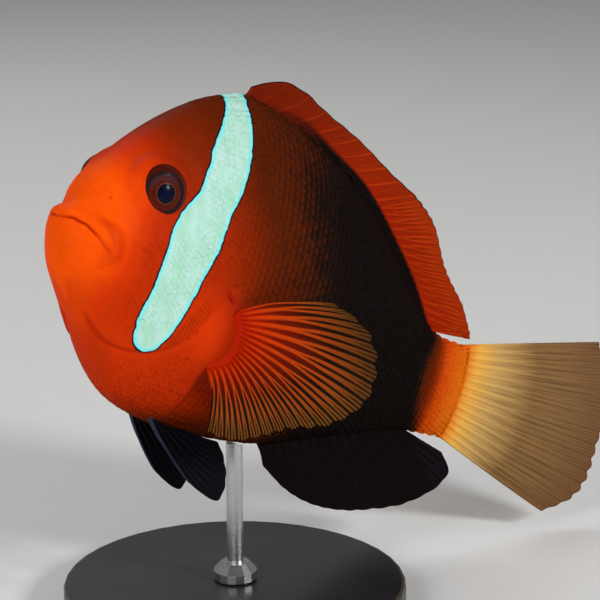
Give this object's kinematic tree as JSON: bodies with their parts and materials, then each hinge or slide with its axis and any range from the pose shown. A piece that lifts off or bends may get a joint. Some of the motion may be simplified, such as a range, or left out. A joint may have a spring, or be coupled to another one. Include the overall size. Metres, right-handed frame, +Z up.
{
  "type": "fire clownfish",
  "caption": "Life-size still model of an adult fire clownfish, swimming with its nose up and tail swung to its left, on a rod and round base.",
  "frame": {"origin": "middle of the bottom of the whole part's box, on the plane of the stand's underside", "axes": "+X from the snout towards the tail, +Y to the fish's right, +Z up; the fish is pitched nose up by 28 degrees about Y"},
  "size_m": [0.104, 0.05, 0.0759],
  "materials": {
    "head_skin": "satin orange scaled skin",
    "gill_cover_skin": "satin red-orange scaled skin",
    "trunk_skin": "satin near-black scaled skin, red-brown towards the head",
    "tail_stalk_skin": "satin orange scaled skin",
    "red_fin": "satin orange-red rays and webs",
    "black_fin": "satin black rays and webs with a blue sheen",
    "pale_fin": "satin cream rays and webs, yellow-orange at the root",
    "eye": "clear glossy eye, brown iris and blue-black pupil",
    "stand_paint": "satin black paint",
    "stand_steel": "brushed steel"
  },
  "bodies": {
    "root": {"head": "head_skin", "upper_jaw": "head_skin", "lower_jaw": "head_skin", "gill_cover_left": "gill_cover_skin", "gill_cover_right": "gill_cover_skin", "trunk": "trunk_skin", "tail_stalk": "tail_stalk_skin", "dorsal_fin_spines": "red_fin", "dorsal_fin_rays": "red_fin", "pectoral_fin_left": "red_fin", "pectoral_fin_right": "red_fin", "anal_fin": "black_fin", "pelvic_fin_left": "black_fin", "pelvic_fin_right": "black_fin", "tail_fin": "pale_fin", "eye_left": "eye", "eye_right": "eye", "stand_base": "stand_paint", "stand_rod": "stand_steel"}
  },
  "joints": []
}
